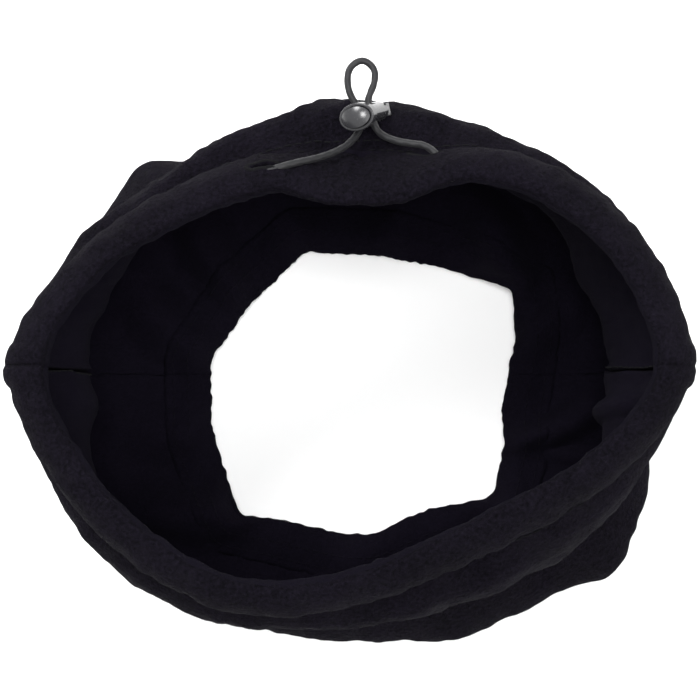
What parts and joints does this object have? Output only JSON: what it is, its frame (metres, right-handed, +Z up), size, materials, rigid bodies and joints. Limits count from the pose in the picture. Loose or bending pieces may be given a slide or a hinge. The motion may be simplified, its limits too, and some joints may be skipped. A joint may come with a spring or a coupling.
{
  "type": "neck gaiter",
  "caption": "Black fleece tube neck gaiter, slumped and standing on its lower hem, with an elastic drawcord in the rim casing held by a sprung oval cord lock.",
  "frame": {"origin": "middle of the gaiter's footprint, on the surface that it stands on, measured without the drawcord and the lock", "axes": "+Z up through the neck opening, +X towards the right side seam, +Y towards the back, where the cord lock hangs"},
  "size_m": [0.2202, 0.1943, 0.1302],
  "materials": {
    "fleece": "soft short-pile polyester fleece with a finely pilled nap outside and a smoother face inside",
    "thread": "spun polyester sewing thread, matt",
    "elastic_cord": "round braided elastic, slightly shiny",
    "lock_plastic": "moulded acetal, satin gloss",
    "spring_steel": "bright drawn spring wire"
  },
  "bodies": {
    "gaiter": {"front_panel": "fleece", "back_panel": "fleece", "casing_lower_stitch_row": "thread", "casing_upper_stitch_row": "thread", "hem_inner_stitch_row": "thread", "hem_outer_stitch_row": "thread", "left_side_seam_thread": "thread", "right_side_seam_thread": "thread", "left_buttonhole_thread": "thread", "right_buttonhole_thread": "thread", "drawcord": "elastic_cord"},
    "cord_lock": {"lock_barrel": "lock_plastic", "lock_spring": "spring_steel"},
    "lock_button": {"lock_plunger": "lock_plastic"}
  },
  "joints": [
    {"name": "lock_slide", "type": "slide", "parent": "gaiter", "child": "cord_lock", "axis": [-0.253, 0.9616, 0.1065], "range_m": [0, 0.008], "deforming": ["drawcord"]},
    {"name": "plunger_press", "type": "slide", "parent": "cord_lock", "child": "lock_button", "axis": [0.38, 0.2, -0.9031], "range_m": [0, 0.0026], "stiffness_N_per_m": 800, "springref_m": -0.003, "deforming": ["lock_spring"]}
  ]
}
